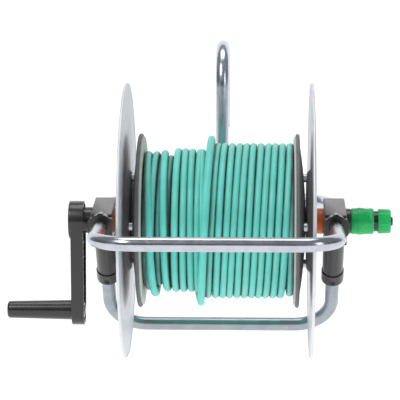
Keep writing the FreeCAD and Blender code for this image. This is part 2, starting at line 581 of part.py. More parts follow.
def crank():
    """A moulded arm, hollow and ribbed on its inner side, with a turning grip."""
    face, wall, web, rib, hub_r, pin_boss_r = -CRANK_FACE_X, 3.2, 4.5, 2.2, 17.0, 10.0
    arm = arm_prism(CRANK_BIG_R, CRANK_SMALL_R, face, CRANK_T)
    front = [e for e in arm.Edges if abs(e.BoundBox.XMin - face) + abs(e.BoundBox.XMax - face) < 0.01]
    arm = arm.makeFillet(1.5, front)
    arm = arm.cut(arm_prism(CRANK_BIG_R - wall, CRANK_SMALL_R - wall, face + web, CRANK_T))
    inside = arm_prism(CRANK_BIG_R - 1, CRANK_SMALL_R - 1, face + 1, CRANK_T - 3)
    ribs = Part.makeBox(CRANK_T, rib, CRANK_THROW, V(face, -rib / 2, -CRANK_THROW))
    for i in range(1, 5):
        z = -CRANK_THROW * (i + 0.6) / 6
        ribs = ribs.fuse(Part.makeBox(CRANK_T, 60, rib, V(face, -30, z)))
    arm = arm.fuse(ribs.common(inside))
    raised = rod(CRANK_BIG_R, V(face - 3, 0, 0), X, 4.5)
    outer = [e for e in raised.Edges if e.Closed and abs(e.CenterOfMass.x - face + 3) < 0.01]
    arm = arm.fuse(raised.makeFillet(2.0, outer))
    arm = arm.fuse(rod(hub_r, V(face + 1, 0, 0), X, CRANK_FACE_X - BLOCK_OUT - 1.7))
    pin_spot = V(face, 0, -CRANK_THROW)
    arm = arm.fuse(rod(pin_boss_r, pin_spot + X, X, CRANK_T - 1.5))
    hole = SQUARE + 2 * RUN
    arm = arm.cut(Part.makeBox(60, hole, hole, V(face + 5.9, -hole / 2, -hole / 2)))
    head_r, head_h, seat_x, cap_r, cap_t = 5.2, 4.5, face + 3.2, 9.0, 1.6
    arm = arm.cut(rod(SCREW_R + FREE, V(face - 5, 0, 0), X, 30))
    arm = arm.cut(rod(head_r + FREE, V(face - 5, 0, 0), X, seat_x - face + 5))
    arm = arm.cut(rod(cap_r + RUN, V(face - 3 - 1, 0, 0), X, cap_t + 1))
    arm = arm.cut(rod(PIN_TAIL_R + RUN, pin_spot - X, X, CRANK_T + 2))
    save("crank_arm", arm)
    head = rod(head_r, V(seat_x - head_h, 0, 0), X, head_h)
    head = head.cut(hexagon(5.0, V(seat_x - head_h, 0, 0), X, 2.5))
    save("crank_screw", head.fuse(rod(SCREW_R, V(seat_x, 0, 0), X, SCREW_L - 4.0)))
    save("crank_cap", rod(cap_r, V(face - 3, 0, 0), X, cap_t))
    grip(pin_spot)


def grip(pin_spot):
    start_x, cap_l, stem_l = pin_spot.x - 0.6, 5.0, 6.0
    head_x, head_r, head_h = GRIP_END_X - 15.0, 7.0, 3.0
    body_l = GRIP_END_X + start_x - cap_l
    z = pin_spot.z
    pin = rod(GRIP_PIN_R, V(-head_x, 0, z), X, head_x + pin_spot.x)
    pin = pin.fuse(rod(head_r, V(-head_x - head_h, 0, z), X, head_h))
    pin = pin.fuse(rod(PIN_TAIL_R, pin_spot, X, CRANK_T - 0.5))
    pin = pin.fuse(rod(PIN_TAIL_R + 2, pin_spot + X * (CRANK_T - 0.5), X, 1.5))
    save("grip_pin", pin)
    body = Part.makeCone(GRIP_R[1], GRIP_R[0], body_l, V(cap_l - GRIP_END_X, 0, z), X)
    body = body.cut(rod(GRIP_PIN_R + RUN, V(-GRIP_END_X, 0, z), X, GRIP_END_X))
    body = body.cut(rod(head_r + GAP, V(-GRIP_END_X, 0, z), X, GRIP_END_X - head_x + GAP))
    save("grip", body)
    cap = rod(GRIP_R[1], V(-GRIP_END_X, 0, z), X, cap_l)
    rim = [e for e in cap.Edges if e.Closed and abs(e.CenterOfMass.x + GRIP_END_X) < 0.01]
    cap = cap.makeFillet(cap_l - 1.0, rim)
    save("grip_cap", cap.fuse(rod(head_r + GAP - SEAT, V(cap_l - GRIP_END_X, 0, z), X, stem_l)))


frame_loops()
hook_mast()
mast_clamp()
side_blocks()
ring_nuts()
drum()
hubs()
outlet_elbow()
hose()
inlet_spigot()
connectors()
crank()
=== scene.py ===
"""Looks of a garden hose reel: hose, bright tubes and discs, moulded plastic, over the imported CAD."""

import bmesh
import bpy
import json
import math
from mathutils import Matrix, Vector

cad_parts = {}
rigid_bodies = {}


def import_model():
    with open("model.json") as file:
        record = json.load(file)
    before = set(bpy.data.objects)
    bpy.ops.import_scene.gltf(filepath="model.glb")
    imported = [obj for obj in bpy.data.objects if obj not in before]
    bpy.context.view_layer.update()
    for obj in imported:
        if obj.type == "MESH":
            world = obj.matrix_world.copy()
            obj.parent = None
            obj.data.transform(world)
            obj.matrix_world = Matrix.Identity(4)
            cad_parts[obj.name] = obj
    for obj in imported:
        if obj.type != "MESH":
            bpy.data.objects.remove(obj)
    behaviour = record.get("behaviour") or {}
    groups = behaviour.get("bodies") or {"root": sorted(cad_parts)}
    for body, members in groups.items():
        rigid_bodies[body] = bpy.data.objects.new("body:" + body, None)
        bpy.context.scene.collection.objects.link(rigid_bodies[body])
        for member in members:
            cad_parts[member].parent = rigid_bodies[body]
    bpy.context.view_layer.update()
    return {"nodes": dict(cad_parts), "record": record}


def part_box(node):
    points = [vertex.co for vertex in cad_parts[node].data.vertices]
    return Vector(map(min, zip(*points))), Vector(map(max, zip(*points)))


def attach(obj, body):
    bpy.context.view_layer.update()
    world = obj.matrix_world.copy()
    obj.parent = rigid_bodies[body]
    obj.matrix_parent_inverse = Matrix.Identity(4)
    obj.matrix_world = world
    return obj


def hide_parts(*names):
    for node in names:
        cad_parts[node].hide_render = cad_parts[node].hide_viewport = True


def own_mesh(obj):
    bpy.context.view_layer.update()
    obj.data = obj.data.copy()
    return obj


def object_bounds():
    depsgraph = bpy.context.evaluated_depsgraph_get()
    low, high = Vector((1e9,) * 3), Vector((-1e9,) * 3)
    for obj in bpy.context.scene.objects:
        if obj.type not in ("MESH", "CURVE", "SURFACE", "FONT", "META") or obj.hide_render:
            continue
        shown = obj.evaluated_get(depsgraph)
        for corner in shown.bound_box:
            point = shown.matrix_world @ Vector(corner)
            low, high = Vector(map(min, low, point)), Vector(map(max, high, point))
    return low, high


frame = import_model()
JOINTS = {joint["name"]: joint for joint in frame["record"]["behaviour"]["joints"]}
AXLE = Vector(JOINTS["reel_turn"]["pos_m"])
X = Vector((1, 0, 0))
Y = Vector((0, 1, 0))
Z = Vector((0, 0, 1))
MM = 0.001


def about_axle(radius, degrees, x):
    """The point in metres at an angle about the axle, from the top over the front, sizes in mm."""
    a = math.radians(degrees)
    return AXLE + Vector((x, -radius * math.sin(a), radius * math.cos(a))) * MM


# ---------------------------------------------------------------- camera

CAMERA_DISTANCE = 2.6
CAMERA_SIDE = 0.056
CAMERA_ELEVATION = 8.3
AIM = Vector((-0.0248, 0, 0.0268))
LENS = 180.0


def make_camera():
    e = math.radians(CAMERA_ELEVATION)
    back = Vector((0, -math.cos(e), math.sin(e)))
    camera = bpy.data.objects.new("camera", bpy.data.cameras.new("camera"))
    bpy.context.scene.collection.objects.link(camera)
    camera.data.lens = LENS
    camera.data.sensor_width = 36.0
    camera.data.clip_end = 50.0
    camera.location = AXLE + back * CAMERA_DISTANCE + X * CAMERA_SIDE
    target = AXLE + AIM
    camera.rotation_euler = (target - camera.location).to_track_quat("-Z", "Y").to_euler()
    bpy.context.scene.camera = camera


make_camera()

# ---------------------------------------------------------------- hose

HOSE_D = 9.5
LAYER_R = (80.95, 89.15, 97.35)
WALL_X = 91.8
TURN_POINTS = 16
SPLINE_PULL = math.cos(math.pi / TURN_POINTS) * 0.5 + 0.5
LAST_TOP_X, LAST_BOTTOM_X, LAST_R = -10.0, -23.0, 107.2
FRONT_LEAN = 13.0
INNER_TURNS, MIDDLE_TURNS, OUTER_TURNS = 19, 12, 11
OUTER_END_X = -1.3
EASE = 0.45
# Where the loose turns at the left lie on the inner layer: top x, top radius, bottom x, bottom radius
LOOSE_TURNS = ((-91.6, 86.5, -82.0, 96.0), (-80.5, 86.0, -90.5, 87.0), (-69.5, 88.0, -66.0, 89.0),
               (-53.0, 90.6, -55.2, 89.4), (-43.2, 90.4, -45.4, 89.4), (-33.8, 90.0, -35.6, 89.2),
               (-24.3, 89.4, -27.0, 89.0))
ELBOW_MOUTH = Vector((84.0, -46.7, 35.4))
ELBOW_AXIS = Vector((0, -0.7071, -0.7071))
# From the elbow up to the first turn, and from the last turn out to the connector: degrees, radius, x
RISE = ((84, 68.5, 86.0), (106, 74.0, 88.5), (128, 78.0, 90.5), (150, 80.5, 91.4))
RUN_OUT = ((22.0, 112.5, -27.5), (44.0, 116.5, -36.0), (64.0, 118.5, -44.5))


def winding_knots():
    """Half-turn marks of the whole winding as (degrees, x, radius), the tops at whole turns."""
    knots = []
    angle = 0.0
    for i in range(2 * INNER_TURNS + 1):
        knots.append((angle, WALL_X - 2 * WALL_X * i / (2 * INNER_TURNS), LAYER_R[0]))
        angle += 180.0
    angle += 180.0
    for top_x, top_r, low_x, low_r in LOOSE_TURNS:
        knots.append((angle, top_x, top_r))
        knots.append((angle + 180.0, low_x, low_r))
        angle += 360.0
    start = LOOSE_TURNS[-1][2]
    for i in range(2 * MIDDLE_TURNS):
        knots.append((angle, start + (WALL_X - start) * (i + 1) / (2 * MIDDLE_TURNS), LAYER_R[1]))
        angle += 180.0
    angle += 180.0 if (angle / 180.0) % 2 else 360.0
    for i in range(OUTER_TURNS):
        top_x = WALL_X + (OUTER_END_X - WALL_X) * i / (OUTER_TURNS - 1)
        knots.append((angle, top_x, LAYER_R[2]))
        knots.append((angle + 180.0, top_x - FRONT_LEAN, LAYER_R[2]))
        angle += 360.0
    knots.append((angle, LAST_TOP_X, LAST_R))
    knots.append((angle + 180.0, LAST_BOTTOM_X, LAST_R))
    return knots


def eased(knots, angle):
    """x and radius at an angle, running smoothly from each mark to the next."""
    for (a0, x0, r0), (a1, x1, r1) in zip(knots, knots[1:]):
        if a0 <= angle <= a1:
            t = (angle - a0) / (a1 - a0)
            t = t * t * (3 - 2 * t) * EASE + t * (1 - EASE)
            return x0 + (x1 - x0) * t, r0 + (r1 - r0) * t
    return knots[-1][1:]


def hose_route():
    """Control points from the outlet elbow, round the drum, to the connector on the hose's end."""
    knots = winding_knots()
    elbow = AXLE + ELBOW_MOUTH * MM
    along = ELBOW_AXIS * MM
    points = [elbow, elbow + along * 9, elbow + along * 18]
    for degrees, radius, x in RISE:
        points.append(about_axle(radius / SPLINE_PULL, degrees, x))
    start, end = 180.0, knots[-1][0]
    steps = round((end - start) / 360.0 * TURN_POINTS)
    for i in range(steps + 1):
        angle = start + (end - start) * i / steps
        x, radius = eased(knots, angle)
        wobble = 0.35 * math.sin(angle * 0.0131) + 0.25 * math.sin(angle * 0.0297 + 1.0)
        points.append(about_axle(radius / SPLINE_PULL, angle, max(-WALL_X, min(WALL_X, x + wobble))))
    middle = (Vector(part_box("hose_end_nut")[0]) + Vector(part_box("hose_end_nut")[1])) / 2
    axis = Vector(JOINTS["hose_end_nut_turn"]["axis"])
    for degrees, radius, x in RUN_OUT:
        points.append(about_axle(radius, end + degrees, x))
    points += [middle + axis * 0.022, middle + axis * 0.012, middle]
    return points


def make_hose():
    curve = bpy.data.curves.new("hose", "CURVE")
    curve.dimensions = "3D"
    spline = curve.splines.new("NURBS")
    points = hose_route()
    spline.points.add(len(points) - 1)
    for point, place in zip(spline.points, points):
        point.co = (*place, 1.0)
        point.radius = HOSE_D / 2 * MM
    spline.order_u = 3
    spline.use_endpoint_u = True
    spline.resolution_u = 3
    curve.bevel_depth = 1.0
    curve.bevel_resolution = 4
    curve.use_fill_caps = True
    hose = bpy.data.objects.new("hose", curve)
    bpy.context.scene.collection.objects.link(hose)
    length = sum((b - a).length for a, b in zip(points, points[1:])) * SPLINE_PULL
    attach(hose, "reel")
    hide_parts("hose_coil", "hose_tail")
    return hose, points[0], round(length, 2)


hose, hose_start, hose_length = make_hose()

# ---------------------------------------------------------------- mesh helpers


def finish_mesh(name, mesh, body, nodes, sharp=40.0):
    """Turns a finished bmesh into a smooth-shaded piece that rides on its body."""
    bmesh.ops.remove_doubles(mesh, verts=mesh.verts, dist=0.00001)
    bmesh.ops.recalc_face_normals(mesh, faces=mesh.faces)
    data = bpy.data.meshes.new(name)
    mesh.to_mesh(data)
    mesh.free()
    data.shade_smooth()
    data.set_sharp_from_angle(angle=math.radians(sharp))
    piece = bpy.data.objects.new(name, data)
    bpy.context.scene.collection.objects.link(piece)
    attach(piece, body)
    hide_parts(*nodes)
    return piece


def outline_ring(mesh, outline, centre):
    """A closed chain of edges from (x, radius) points in mm, beside the X axis through centre."""
    verts = [mesh.verts.new(centre + Vector((x, 0, r)) * MM) for x, r in outline]
    edges = [mesh.edges.new(pair) for pair in zip(verts, verts[1:] + verts[:1])]
    return verts, edges


def lathe(mesh, outline, centre=AXLE, steps=128):
    """Spins a closed outline once round the X axis."""
    verts, edges = outline_ring(mesh, outline, centre)
    bmesh.ops.spin(mesh, geom=verts + edges, cent=centre, axis=X, dvec=(0, 0, 0),
                   angle=math.tau, steps=steps, use_merge=True, use_duplicate=False)


def flipped(outline, side):
    """The outline for the left side where side is -1."""
    return [(side * x, r) for x, r in outline]


def arc_points(cx, cr, radius, start, end, count):
    """Points on an arc in the (x, radius) half plane, angles in degrees."""
    steps = [math.radians(start + (end - start) * i / (count - 1)) for i in range(count)]
    return [(cx + radius * math.cos(a), cr + radius * math.sin(a)) for a in steps]


# ---------------------------------------------------------------- tubes

TUBE_R = 9.0
TUBE_WALL = 1.2
BAR_REACH = 201.0
LEG_X = 150.0
BEND_R = 50.0
LEG_START = 22.0
LOWER_DEG = 53.0
MAST_BEND_R = 52.0
MAST_KNEE_Z = 159.0
HOOK_LEG = 64.0
ROUND_STEPS = 48
BEND_STEP = 5
MAST_GAP = 0.3


def bent_tube(name, start, direction, moves, body, node):
    """A tube from a start point: each move is a straight length, or a bend (radius, degrees, axis)."""
    mesh = bmesh.new()
    turn = Z.rotation_difference(direction).to_matrix().to_4x4()
    ring = bmesh.ops.create_circle(mesh, segments=ROUND_STEPS, radius=TUBE_R * MM, cap_ends=False,
                                   matrix=Matrix.Translation(start) @ turn)
    edges = list({e for v in ring["verts"] for e in v.link_edges})
    place, heading = start.copy(), direction.copy()
    for move in moves:
        if isinstance(move, tuple):
            radius, degrees, axis = move
            side = axis.cross(heading).normalized()
            centre = place + side * radius * MM
            steps = max(8, int(degrees / BEND_STEP))
            made = bmesh.ops.spin(mesh, geom=edges, cent=centre, axis=axis, dvec=(0, 0, 0),
                                  angle=math.radians(degrees), steps=steps, use_duplicate=False)
            edges = [g for g in made["geom_last"] if isinstance(g, bmesh.types.BMEdge)]
            turned = Matrix.Rotation(math.radians(degrees), 3, axis)
            place = centre + turned @ (place - centre)
            heading = turned @ heading
        else:
            made = bmesh.ops.extrude_edge_only(mesh, edges=edges)["geom"]
            edges = [g for g in made if isinstance(g, bmesh.types.BMEdge)]
            verts = [g for g in made if isinstance(g, bmesh.types.BMVert)]
            bmesh.ops.translate(mesh, verts=verts, vec=heading * move * MM)
            place = place + heading * move * MM
    bmesh.ops.recalc_face_normals(mesh, faces=mesh.faces)
    bmesh.ops.solidify(mesh, geom=mesh.faces[:], thickness=TUBE_WALL * MM)
    return finish_mesh(name, mesh, body, [node])


def make_tubes():
    for name, degrees, body in (("front_tube", 180.0, "front_loop"), ("rear_tube", 0.0, "frame"),
                                ("lower_tube", -LOWER_DEG, "frame")):
        out = Matrix.Rotation(math.radians(degrees), 3, X) @ Y
        axis = out.cross(X).normalized()
        start = AXLE + (X * LEG_X + out * LEG_START) * MM
        straight = BAR_REACH - BEND_R - LEG_START
        moves = [straight, (BEND_R, 90.0, -axis), 2 * (LEG_X - BEND_R), (BEND_R, 90.0, -axis), straight]
        bent_tube(name, start, out, moves, body, name.replace("tube", "loop"))
    foot = AXLE + Vector((0, BAR_REACH, TUBE_R + MAST_GAP)) * MM
    moves = [MAST_KNEE_Z - TUBE_R - MAST_GAP, (MAST_BEND_R, 180.0, -X), HOOK_LEG]
    bent_tube("mast_tube", foot, Z.copy(), moves, "frame", "hook_mast")


make_tubes()

# ---------------------------------------------------------------- discs, flanges and cheeks

DISC_X, BOSS_X, DISC_R, BOSS_R = 120.0, 114.0, 179.0, 63.0
DISC_BORE_R, BOSS_SLOPE, EDGE_ROLL_R = 14.2, 5.0, 1.9
RIB_RISE, RIB_R, RIB_WIDTH, RIB_POINTS = 3.0, 119.0, 24.0, 12


def make_disc(side):
    """A pressed disc: sunk boss with a sloping step, one raised stiffening ring and a rolled edge."""
    t = 0.5
    middle = [(BOSS_X, DISC_BORE_R), (BOSS_X, BOSS_R - 1.6), (BOSS_X + 0.5, BOSS_R),
              (DISC_X - 0.6, BOSS_R + BOSS_SLOPE), (DISC_X, BOSS_R + BOSS_SLOPE + 1.4)]
    for i in range(RIB_POINTS + 1):
        u = i / RIB_POINTS
        middle.append((DISC_X + RIB_RISE * math.sin(math.pi * u) ** 2, RIB_R + RIB_WIDTH * u))
    middle += [(DISC_X, 168.0), (DISC_X - 0.6, 172.0), (DISC_X - 0.5, 175.0)]
    outer = [(x + t, r) for x, r in middle]
    inner = [(x - t, r) for x, r in middle]
    edge = arc_points(DISC_X - 0.2, DISC_R - EDGE_ROLL_R, EDGE_ROLL_R, -60, 240, 11)
    mesh = bmesh.new()
    lathe(mesh, flipped(outer + edge + inner[::-1], side), steps=160)
    name = "left" if side < 0 else "right"
    return finish_mesh(name + "_side_disc", mesh, "reel", [name + "_disc"], 50.0)


for side in (-1, 1):
    make_disc(side)

FLANGE_X, FLANGE_R, FLANGE_DOME, FLANGE_T = 101.7, 113.0, 10.5, 2.0
DRUM_BORE_R, RIM_R = 18.1, 2.5
CHEEK_X, CHEEK_T, CHEEK_R, CHEEK_ROUND = 96.6, 2.4, 109.0, 0.5


def make_flange(side):
    """The domed dark flange with a rounded rim, and the pale cheek inside it."""
    radii = [DRUM_BORE_R + (FLANGE_R - 3.0 - DRUM_BORE_R) * i / 20 for i in range(21)]
    outer = [(FLANGE_X + FLANGE_DOME * (1 - (r / FLANGE_R) ** 2), r) for r in radii]
    inner = [(x - FLANGE_T, r) for x, r in outer]
    rim = arc_points(FLANGE_X - 0.4, FLANGE_R - RIM_R, RIM_R, -50, 230, 13)
    mesh = bmesh.new()
    lathe(mesh, flipped(outer + rim + inner[::-1], side))
    name = "left" if side < 0 else "right"
    finish_mesh(name + "_drum_flange", mesh, "reel", [name + "_flange"], 50.0)
    back = CHEEK_X + CHEEK_T
    cheek = [(CHEEK_X, DRUM_BORE_R), (CHEEK_X, CHEEK_R - CHEEK_ROUND), (CHEEK_X + CHEEK_ROUND, CHEEK_R),
             (back, CHEEK_R), (back, DRUM_BORE_R)]
    mesh = bmesh.new()
    lathe(mesh, flipped(cheek, side))
    finish_mesh(name + "_drum_cheek", mesh, "reel", [name + "_cheek"])


for side in (-1, 1):
    make_flange(side)

# ---------------------------------------------------------------- moulded pieces


def softened(node, body, width, segments=2):
    """A copy of a moulded CAD piece with rounded edges."""
    source = frame["nodes"][node]
    mesh = bmesh.new()
    mesh.from_mesh(source.data)
    bmesh.ops.remove_doubles(mesh, verts=mesh.verts, dist=0.000005)
    bmesh.ops.dissolve_limit(mesh, angle_limit=math.radians(1.0), verts=mesh.verts, edges=mesh.edges)
    piece = finish_mesh(node + "_moulded", mesh, body, [node], 35.0)
    bevel = piece.modifiers.new("edges", "BEVEL")
    bevel.width = width * MM
    bevel.segments = segments
    bevel.limit_method = "ANGLE"
    bevel.angle_limit = math.radians(35)
    bevel.harden_normals = True
    bevel.use_clamp_overlap = True
    return piece


for node in ("left_block", "right_block"):
    softened(node, "frame", 0.8)
softened("crank_arm", "reel", 0.6)

SLEEVE_LENGTH = 29.8
NUT_CENTRE = 43.0
# The finger recesses: where they sit along the barrel, their half length and half angle, count and depth
RECESS_X, RECESS_HALF, RECESS_TURN, RECESS_PITCH = 0.0056, 0.0062, math.radians(21), math.radians(60)
RECESS_DEPTH, BARREL_R, BARREL_RUN = 0.0007, 0.0163, 0.0156


def along_connector(name, distance):
    """The connector's axis, and the point at a distance in mm from its mouth."""
    nut = JOINTS[name + "_nut_turn"]
    axis = Vector(nut["axis"]).normalized()
    return axis, Vector(nut["pos_m"]) + axis * (distance - NUT_CENTRE) * MM


SLEEVE_OUTLINE = ((0.0, 12.1), (0.0, 15.2), (0.7, 16.1), (2.0, 16.7), (9.0, 17.1), (9.4, 17.75), (12.0, 17.7),
                  (27.6, 16.75), (28.9, 16.5), (29.8, 15.7), (29.8, 13.5), (20.0, 13.5), (20.0, 11.7),
                  (13.0, 11.7), (13.0, 12.1))


def make_sleeve(name, node, body):
    """The green release sleeve with a step round it and finger recesses in its barrel."""
    axis, middle = along_connector(name, SLEEVE_LENGTH / 2)
    mesh = bmesh.new()
    outline = [(x - SLEEVE_LENGTH / 2, r) for x, r in SLEEVE_OUTLINE]
    lathe(mesh, outline, Vector((0, 0, 0)), 144)
    bmesh.ops.remove_doubles(mesh, verts=mesh.verts, dist=0.00001)
    around = [e for e in mesh.edges
              if abs(abs(e.verts[0].co.x - e.verts[1].co.x) - BARREL_RUN) < 0.0005]
    bmesh.ops.subdivide_edges(mesh, edges=around, cuts=14, use_grid_fill=True)
    for vert in mesh.verts:
        radius = math.hypot(vert.co.y, vert.co.z)
        along = (vert.co.x - RECESS_X) / RECESS_HALF
        turn = math.atan2(vert.co.y, vert.co.z)
        across = (turn - RECESS_PITCH * round(turn / RECESS_PITCH)) / RECESS_TURN
        depth = 1.0 - along * along - across * across
        if radius > BARREL_R and depth > 0:
            shrink = 1.0 - RECESS_DEPTH * min(1.0, depth * 3.0) / radius
            vert.co.y *= shrink
            vert.co.z *= shrink
    turned = X.rotation_difference(axis).to_matrix()
    for vert in mesh.verts:
        vert.co = middle + turned @ vert.co
    return finish_mesh(name + "_sleeve_shell", mesh, body, [node], 32.0)


make_sleeve("inlet", "inlet_release_sleeve", "inlet_sleeve")
end_sleeve = make_sleeve("hose_end", "hose_end_release_sleeve", "hose_end_sleeve")

SPRING_WIRE_R, SPRING_COIL_R, SPRING_PITCH, SPRING_RISE = 0.6, 12.5, 2.2, 7.6
SPRING_START, SPRING_KEEP = 20.3, 0.56


def make_spring(name, node, body):
    """The coil spring behind a release sleeve, made at one fixed length; the real spring shortens when the
    sleeve is pushed back.
    """
    axis, middle = along_connector(name, SPRING_START + SPRING_WIRE_R + SPRING_RISE / 2)
    turns = SPRING_RISE / SPRING_PITCH
    steps = int(turns * 48)
    start = Vector((-SPRING_RISE / 2, 0, SPRING_COIL_R)) * MM
    mesh = bmesh.new()
    section = Matrix.Translation(start) @ Matrix.Rotation(math.radians(90), 4, "X")
    ring = bmesh.ops.create_circle(mesh, segments=10, radius=SPRING_WIRE_R * MM, cap_ends=True,
                                   matrix=section)
    faces = list({f for v in ring["verts"] for f in v.link_faces})
    geometry = ring["verts"] + list({e for v in ring["verts"] for e in v.link_edges}) + faces
    bmesh.ops.spin(mesh, geom=geometry, cent=(0, 0, 0), axis=X, dvec=X * SPRING_RISE * MM / steps,
                   angle=math.tau * turns, steps=steps, use_duplicate=False)
    turned = X.rotation_difference(axis).to_matrix()
    for vert in mesh.verts:
        vert.co = middle + turned @ vert.co
    piece = finish_mesh(name + "_coil_spring", mesh, body, [node])
    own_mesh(piece)
    return piece


make_spring("inlet", "inlet_spring", "frame")
end_spring = make_spring("hose_end", "hose_end_spring", "reel")

# ---------------------------------------------------------------- materials


def new_group(name, inputs, outputs):
    group = bpy.data.node_groups.new(name, "ShaderNodeTree")
    for label, kind, value in inputs:
        socket = group.interface.new_socket(name=label, in_out="INPUT", socket_type=kind)
        socket.default_value = value
    for label, kind in outputs:
        group.interface.new_socket(name=label, in_out="OUTPUT", socket_type=kind)
    return group, group.nodes.new("NodeGroupInput"), group.nodes.new("NodeGroupOutput")


class Nodes:
    """A short way to add nodes and link them in one tree."""

    def __init__(self, tree):
        self.tree = tree

    def add(self, kind, values=None, **settings):
        node = self.tree.nodes.new("ShaderNode" + kind)
        for key, value in settings.items():
            setattr(node, key, value)
        for key, value in (values or {}).items():
            if isinstance(value, bpy.types.NodeSocket):
                self.tree.links.new(value, node.inputs[key])
            else:
                node.inputs[key].default_value = value
        return node

    def math(self, operation, a, b=0.5, clamp=False):
        return self.add("Math", {0: a, 1: b}, operation=operation, use_clamp=clamp).outputs[0]

    def spread(self, value, low, high, to_low=0.0, to_high=1.0):
        values = {"Value": value, "From Min": low, "From Max": high, "To Min": to_low, "To Max": to_high}
        return self.add("MapRange", values).outputs["Result"]


def noise_at(n, vector, scale, detail=3.0, rough=0.55):
    values = {"Vector": vector, "Scale": scale, "Detail": detail, "Roughness": rough}
    return n.add("TexNoise", values).outputs["Fac"]


def moulded_grain_group():
    """Fine moulded texture: a colour factor, a roughness shift and a height."""
    group, gin, gout = new_group(
        "moulded_grain", [("Size", "NodeSocketFloat", 900.0), ("Mottle", "NodeSocketFloat", 40.0)],
        [("Tone", "NodeSocketFloat"), ("Gloss", "NodeSocketFloat"), ("Height", "NodeSocketFloat")])
    n = Nodes(group)
    place = n.add("TexCoord").outputs["Object"]
    fine = noise_at(n, place, gin.outputs["Size"], 2.0)
    broad = noise_at(n, place, gin.outputs["Mottle"], 4.0)
    pits = n.add("TexVoronoi", {"Vector": place, "Scale": gin.outputs["Size"]}).outputs["Distance"]
    group.links.new(broad, gout.inputs["Tone"])
    group.links.new(n.math("MULTIPLY", n.math("ADD", fine, broad), 0.5), gout.inputs["Gloss"])
    group.links.new(n.math("ADD", n.math("MULTIPLY", fine, 0.6), n.math("MULTIPLY", pits, 0.4)),
                    gout.inputs["Height"])
    return group


def worn_edge_group():
    """A mask of the edges that hands and floors rub, broken up by noise."""
    group, gin, gout = new_group(
        "worn_edges", [("Width", "NodeSocketFloat", 0.0012), ("Amount", "NodeSocketFloat", 1.0)],
        [("Mask", "NodeSocketFloat")])
    n = Nodes(group)
    place = n.add("TexCoord").outputs["Object"]
    rounded = n.add("Bevel", {"Radius": gin.outputs["Width"]}, samples=6).outputs["Normal"]
    true = n.add("NewGeometry").outputs["Normal"]
    dot = n.add("VectorMath", {0: rounded, 1: true}, operation="DOT_PRODUCT").outputs["Value"]
    edge = n.spread(dot, 0.995, 0.86)
    broken = n.spread(noise_at(n, place, 120.0, 4.0), 0.42, 0.6)
    mask = n.math("MULTIPLY", n.math("MULTIPLY", edge, broken), gin.outputs["Amount"], clamp=True)
    group.links.new(mask, gout.inputs["Mask"])
    return group


def dust_group():
    """A thin film of dust that lies on faces that look up."""
    group, gin, gout = new_group("dust_film", [("Amount", "NodeSocketFloat", 0.3)],
                                 [("Mask", "NodeSocketFloat")])
    n = Nodes(group)
    place = n.add("TexCoord").outputs["Object"]
    up = n.add("SeparateXYZ", {"Vector": n.add("NewGeometry").outputs["Normal"]}).outputs["Z"]
    patch = n.spread(noise_at(n, place, 22.0, 5.0, 0.65), 0.35, 0.75)
    lying = n.math("MULTIPLY", n.spread(up, 0.2, 1.0), patch)
    group.links.new(n.math("MULTIPLY", lying, gin.outputs["Amount"], clamp=True), gout.inputs["Mask"])
    return group


def zinc_skin_group():
    """Zinc coating: soft spangle patches, fine drawn lines along one direction and small stains."""
    group, gin, gout = new_group(
        "zinc_skin",
        [("Spangle", "NodeSocketFloat", 90.0), ("Lines", "NodeSocketVector", (8.0, 600.0, 600.0))],
        [("Tone", "NodeSocketFloat"), ("Gloss", "NodeSocketFloat"), ("Height", "NodeSocketFloat"),
         ("Stain", "NodeSocketFloat")])
    n = Nodes(group)
    place = n.add("TexCoord").outputs["Object"]
    cells = n.add("TexVoronoi", {"Vector": place, "Scale": gin.outputs["Spangle"], "Randomness": 0.9})
    cell = n.add("SeparateColor", {"Color": cells.outputs["Color"]}).outputs["Red"]
    cloud = noise_at(n, place, 14.0, 5.0, 0.6)
    stretched = n.add("VectorMath", {0: place, 1: gin.outputs["Lines"]}, operation="MULTIPLY").outputs[0]
    lines = noise_at(n, stretched, 1.0, 2.0)
    tone = n.math("ADD", n.math("MULTIPLY", cell, 0.45), n.math("MULTIPLY", cloud, 0.55))
    gloss = n.math("ADD", n.math("MULTIPLY", lines, 0.6), n.math("MULTIPLY", cell, 0.4))
    group.links.new(tone, gout.inputs["Tone"])
    group.links.new(gloss, gout.inputs["Gloss"])
    group.links.new(lines, gout.inputs["Height"])
    group.links.new(n.spread(noise_at(n, place, 33.0, 6.0, 0.7), 0.62, 0.78), gout.inputs["Stain"])
    return group


def painted_crevice_shade_group():
    """A mask of painted shade in the hollows, from ambient occlusion, thinner where noise says so."""
    group, gin, gout = new_group(
        "painted_crevice_shade", [("Reach", "NodeSocketFloat", 0.006), ("Amount", "NodeSocketFloat", 0.6)],
        [("Mask", "NodeSocketFloat")])
    n = Nodes(group)
    place = n.add("TexCoord").outputs["Object"]
    open_sky = n.add("AmbientOcclusion", {"Distance": gin.outputs["Reach"]}, samples=8).outputs["AO"]
    hollow = n.spread(open_sky, 0.95, 0.45)
    patch = n.spread(noise_at(n, place, 45.0, 4.0), 0.2, 0.6, 0.6, 1.0)
    mask = n.math("MULTIPLY", n.math("MULTIPLY", hollow, patch), gin.outputs["Amount"], clamp=True)
    group.links.new(mask, gout.inputs["Mask"])
    return group


GRAIN = moulded_grain_group()
CREVICE_SHADE = painted_crevice_shade_group()
WORN = worn_edge_group()
DUST = dust_group()
ZINC = zinc_skin_group()


def new_material(name):
    material = bpy.data.materials.new(name)
    material.use_nodes = True
    return material, Nodes(material.node_tree), material.node_tree.nodes["Principled BSDF"]


def placed(n, group, values=None):
    node = n.tree.nodes.new("ShaderNodeGroup")
    node.node_tree = group
    for key, value in (values or {}).items():
        node.inputs[key].default_value = value
    return node


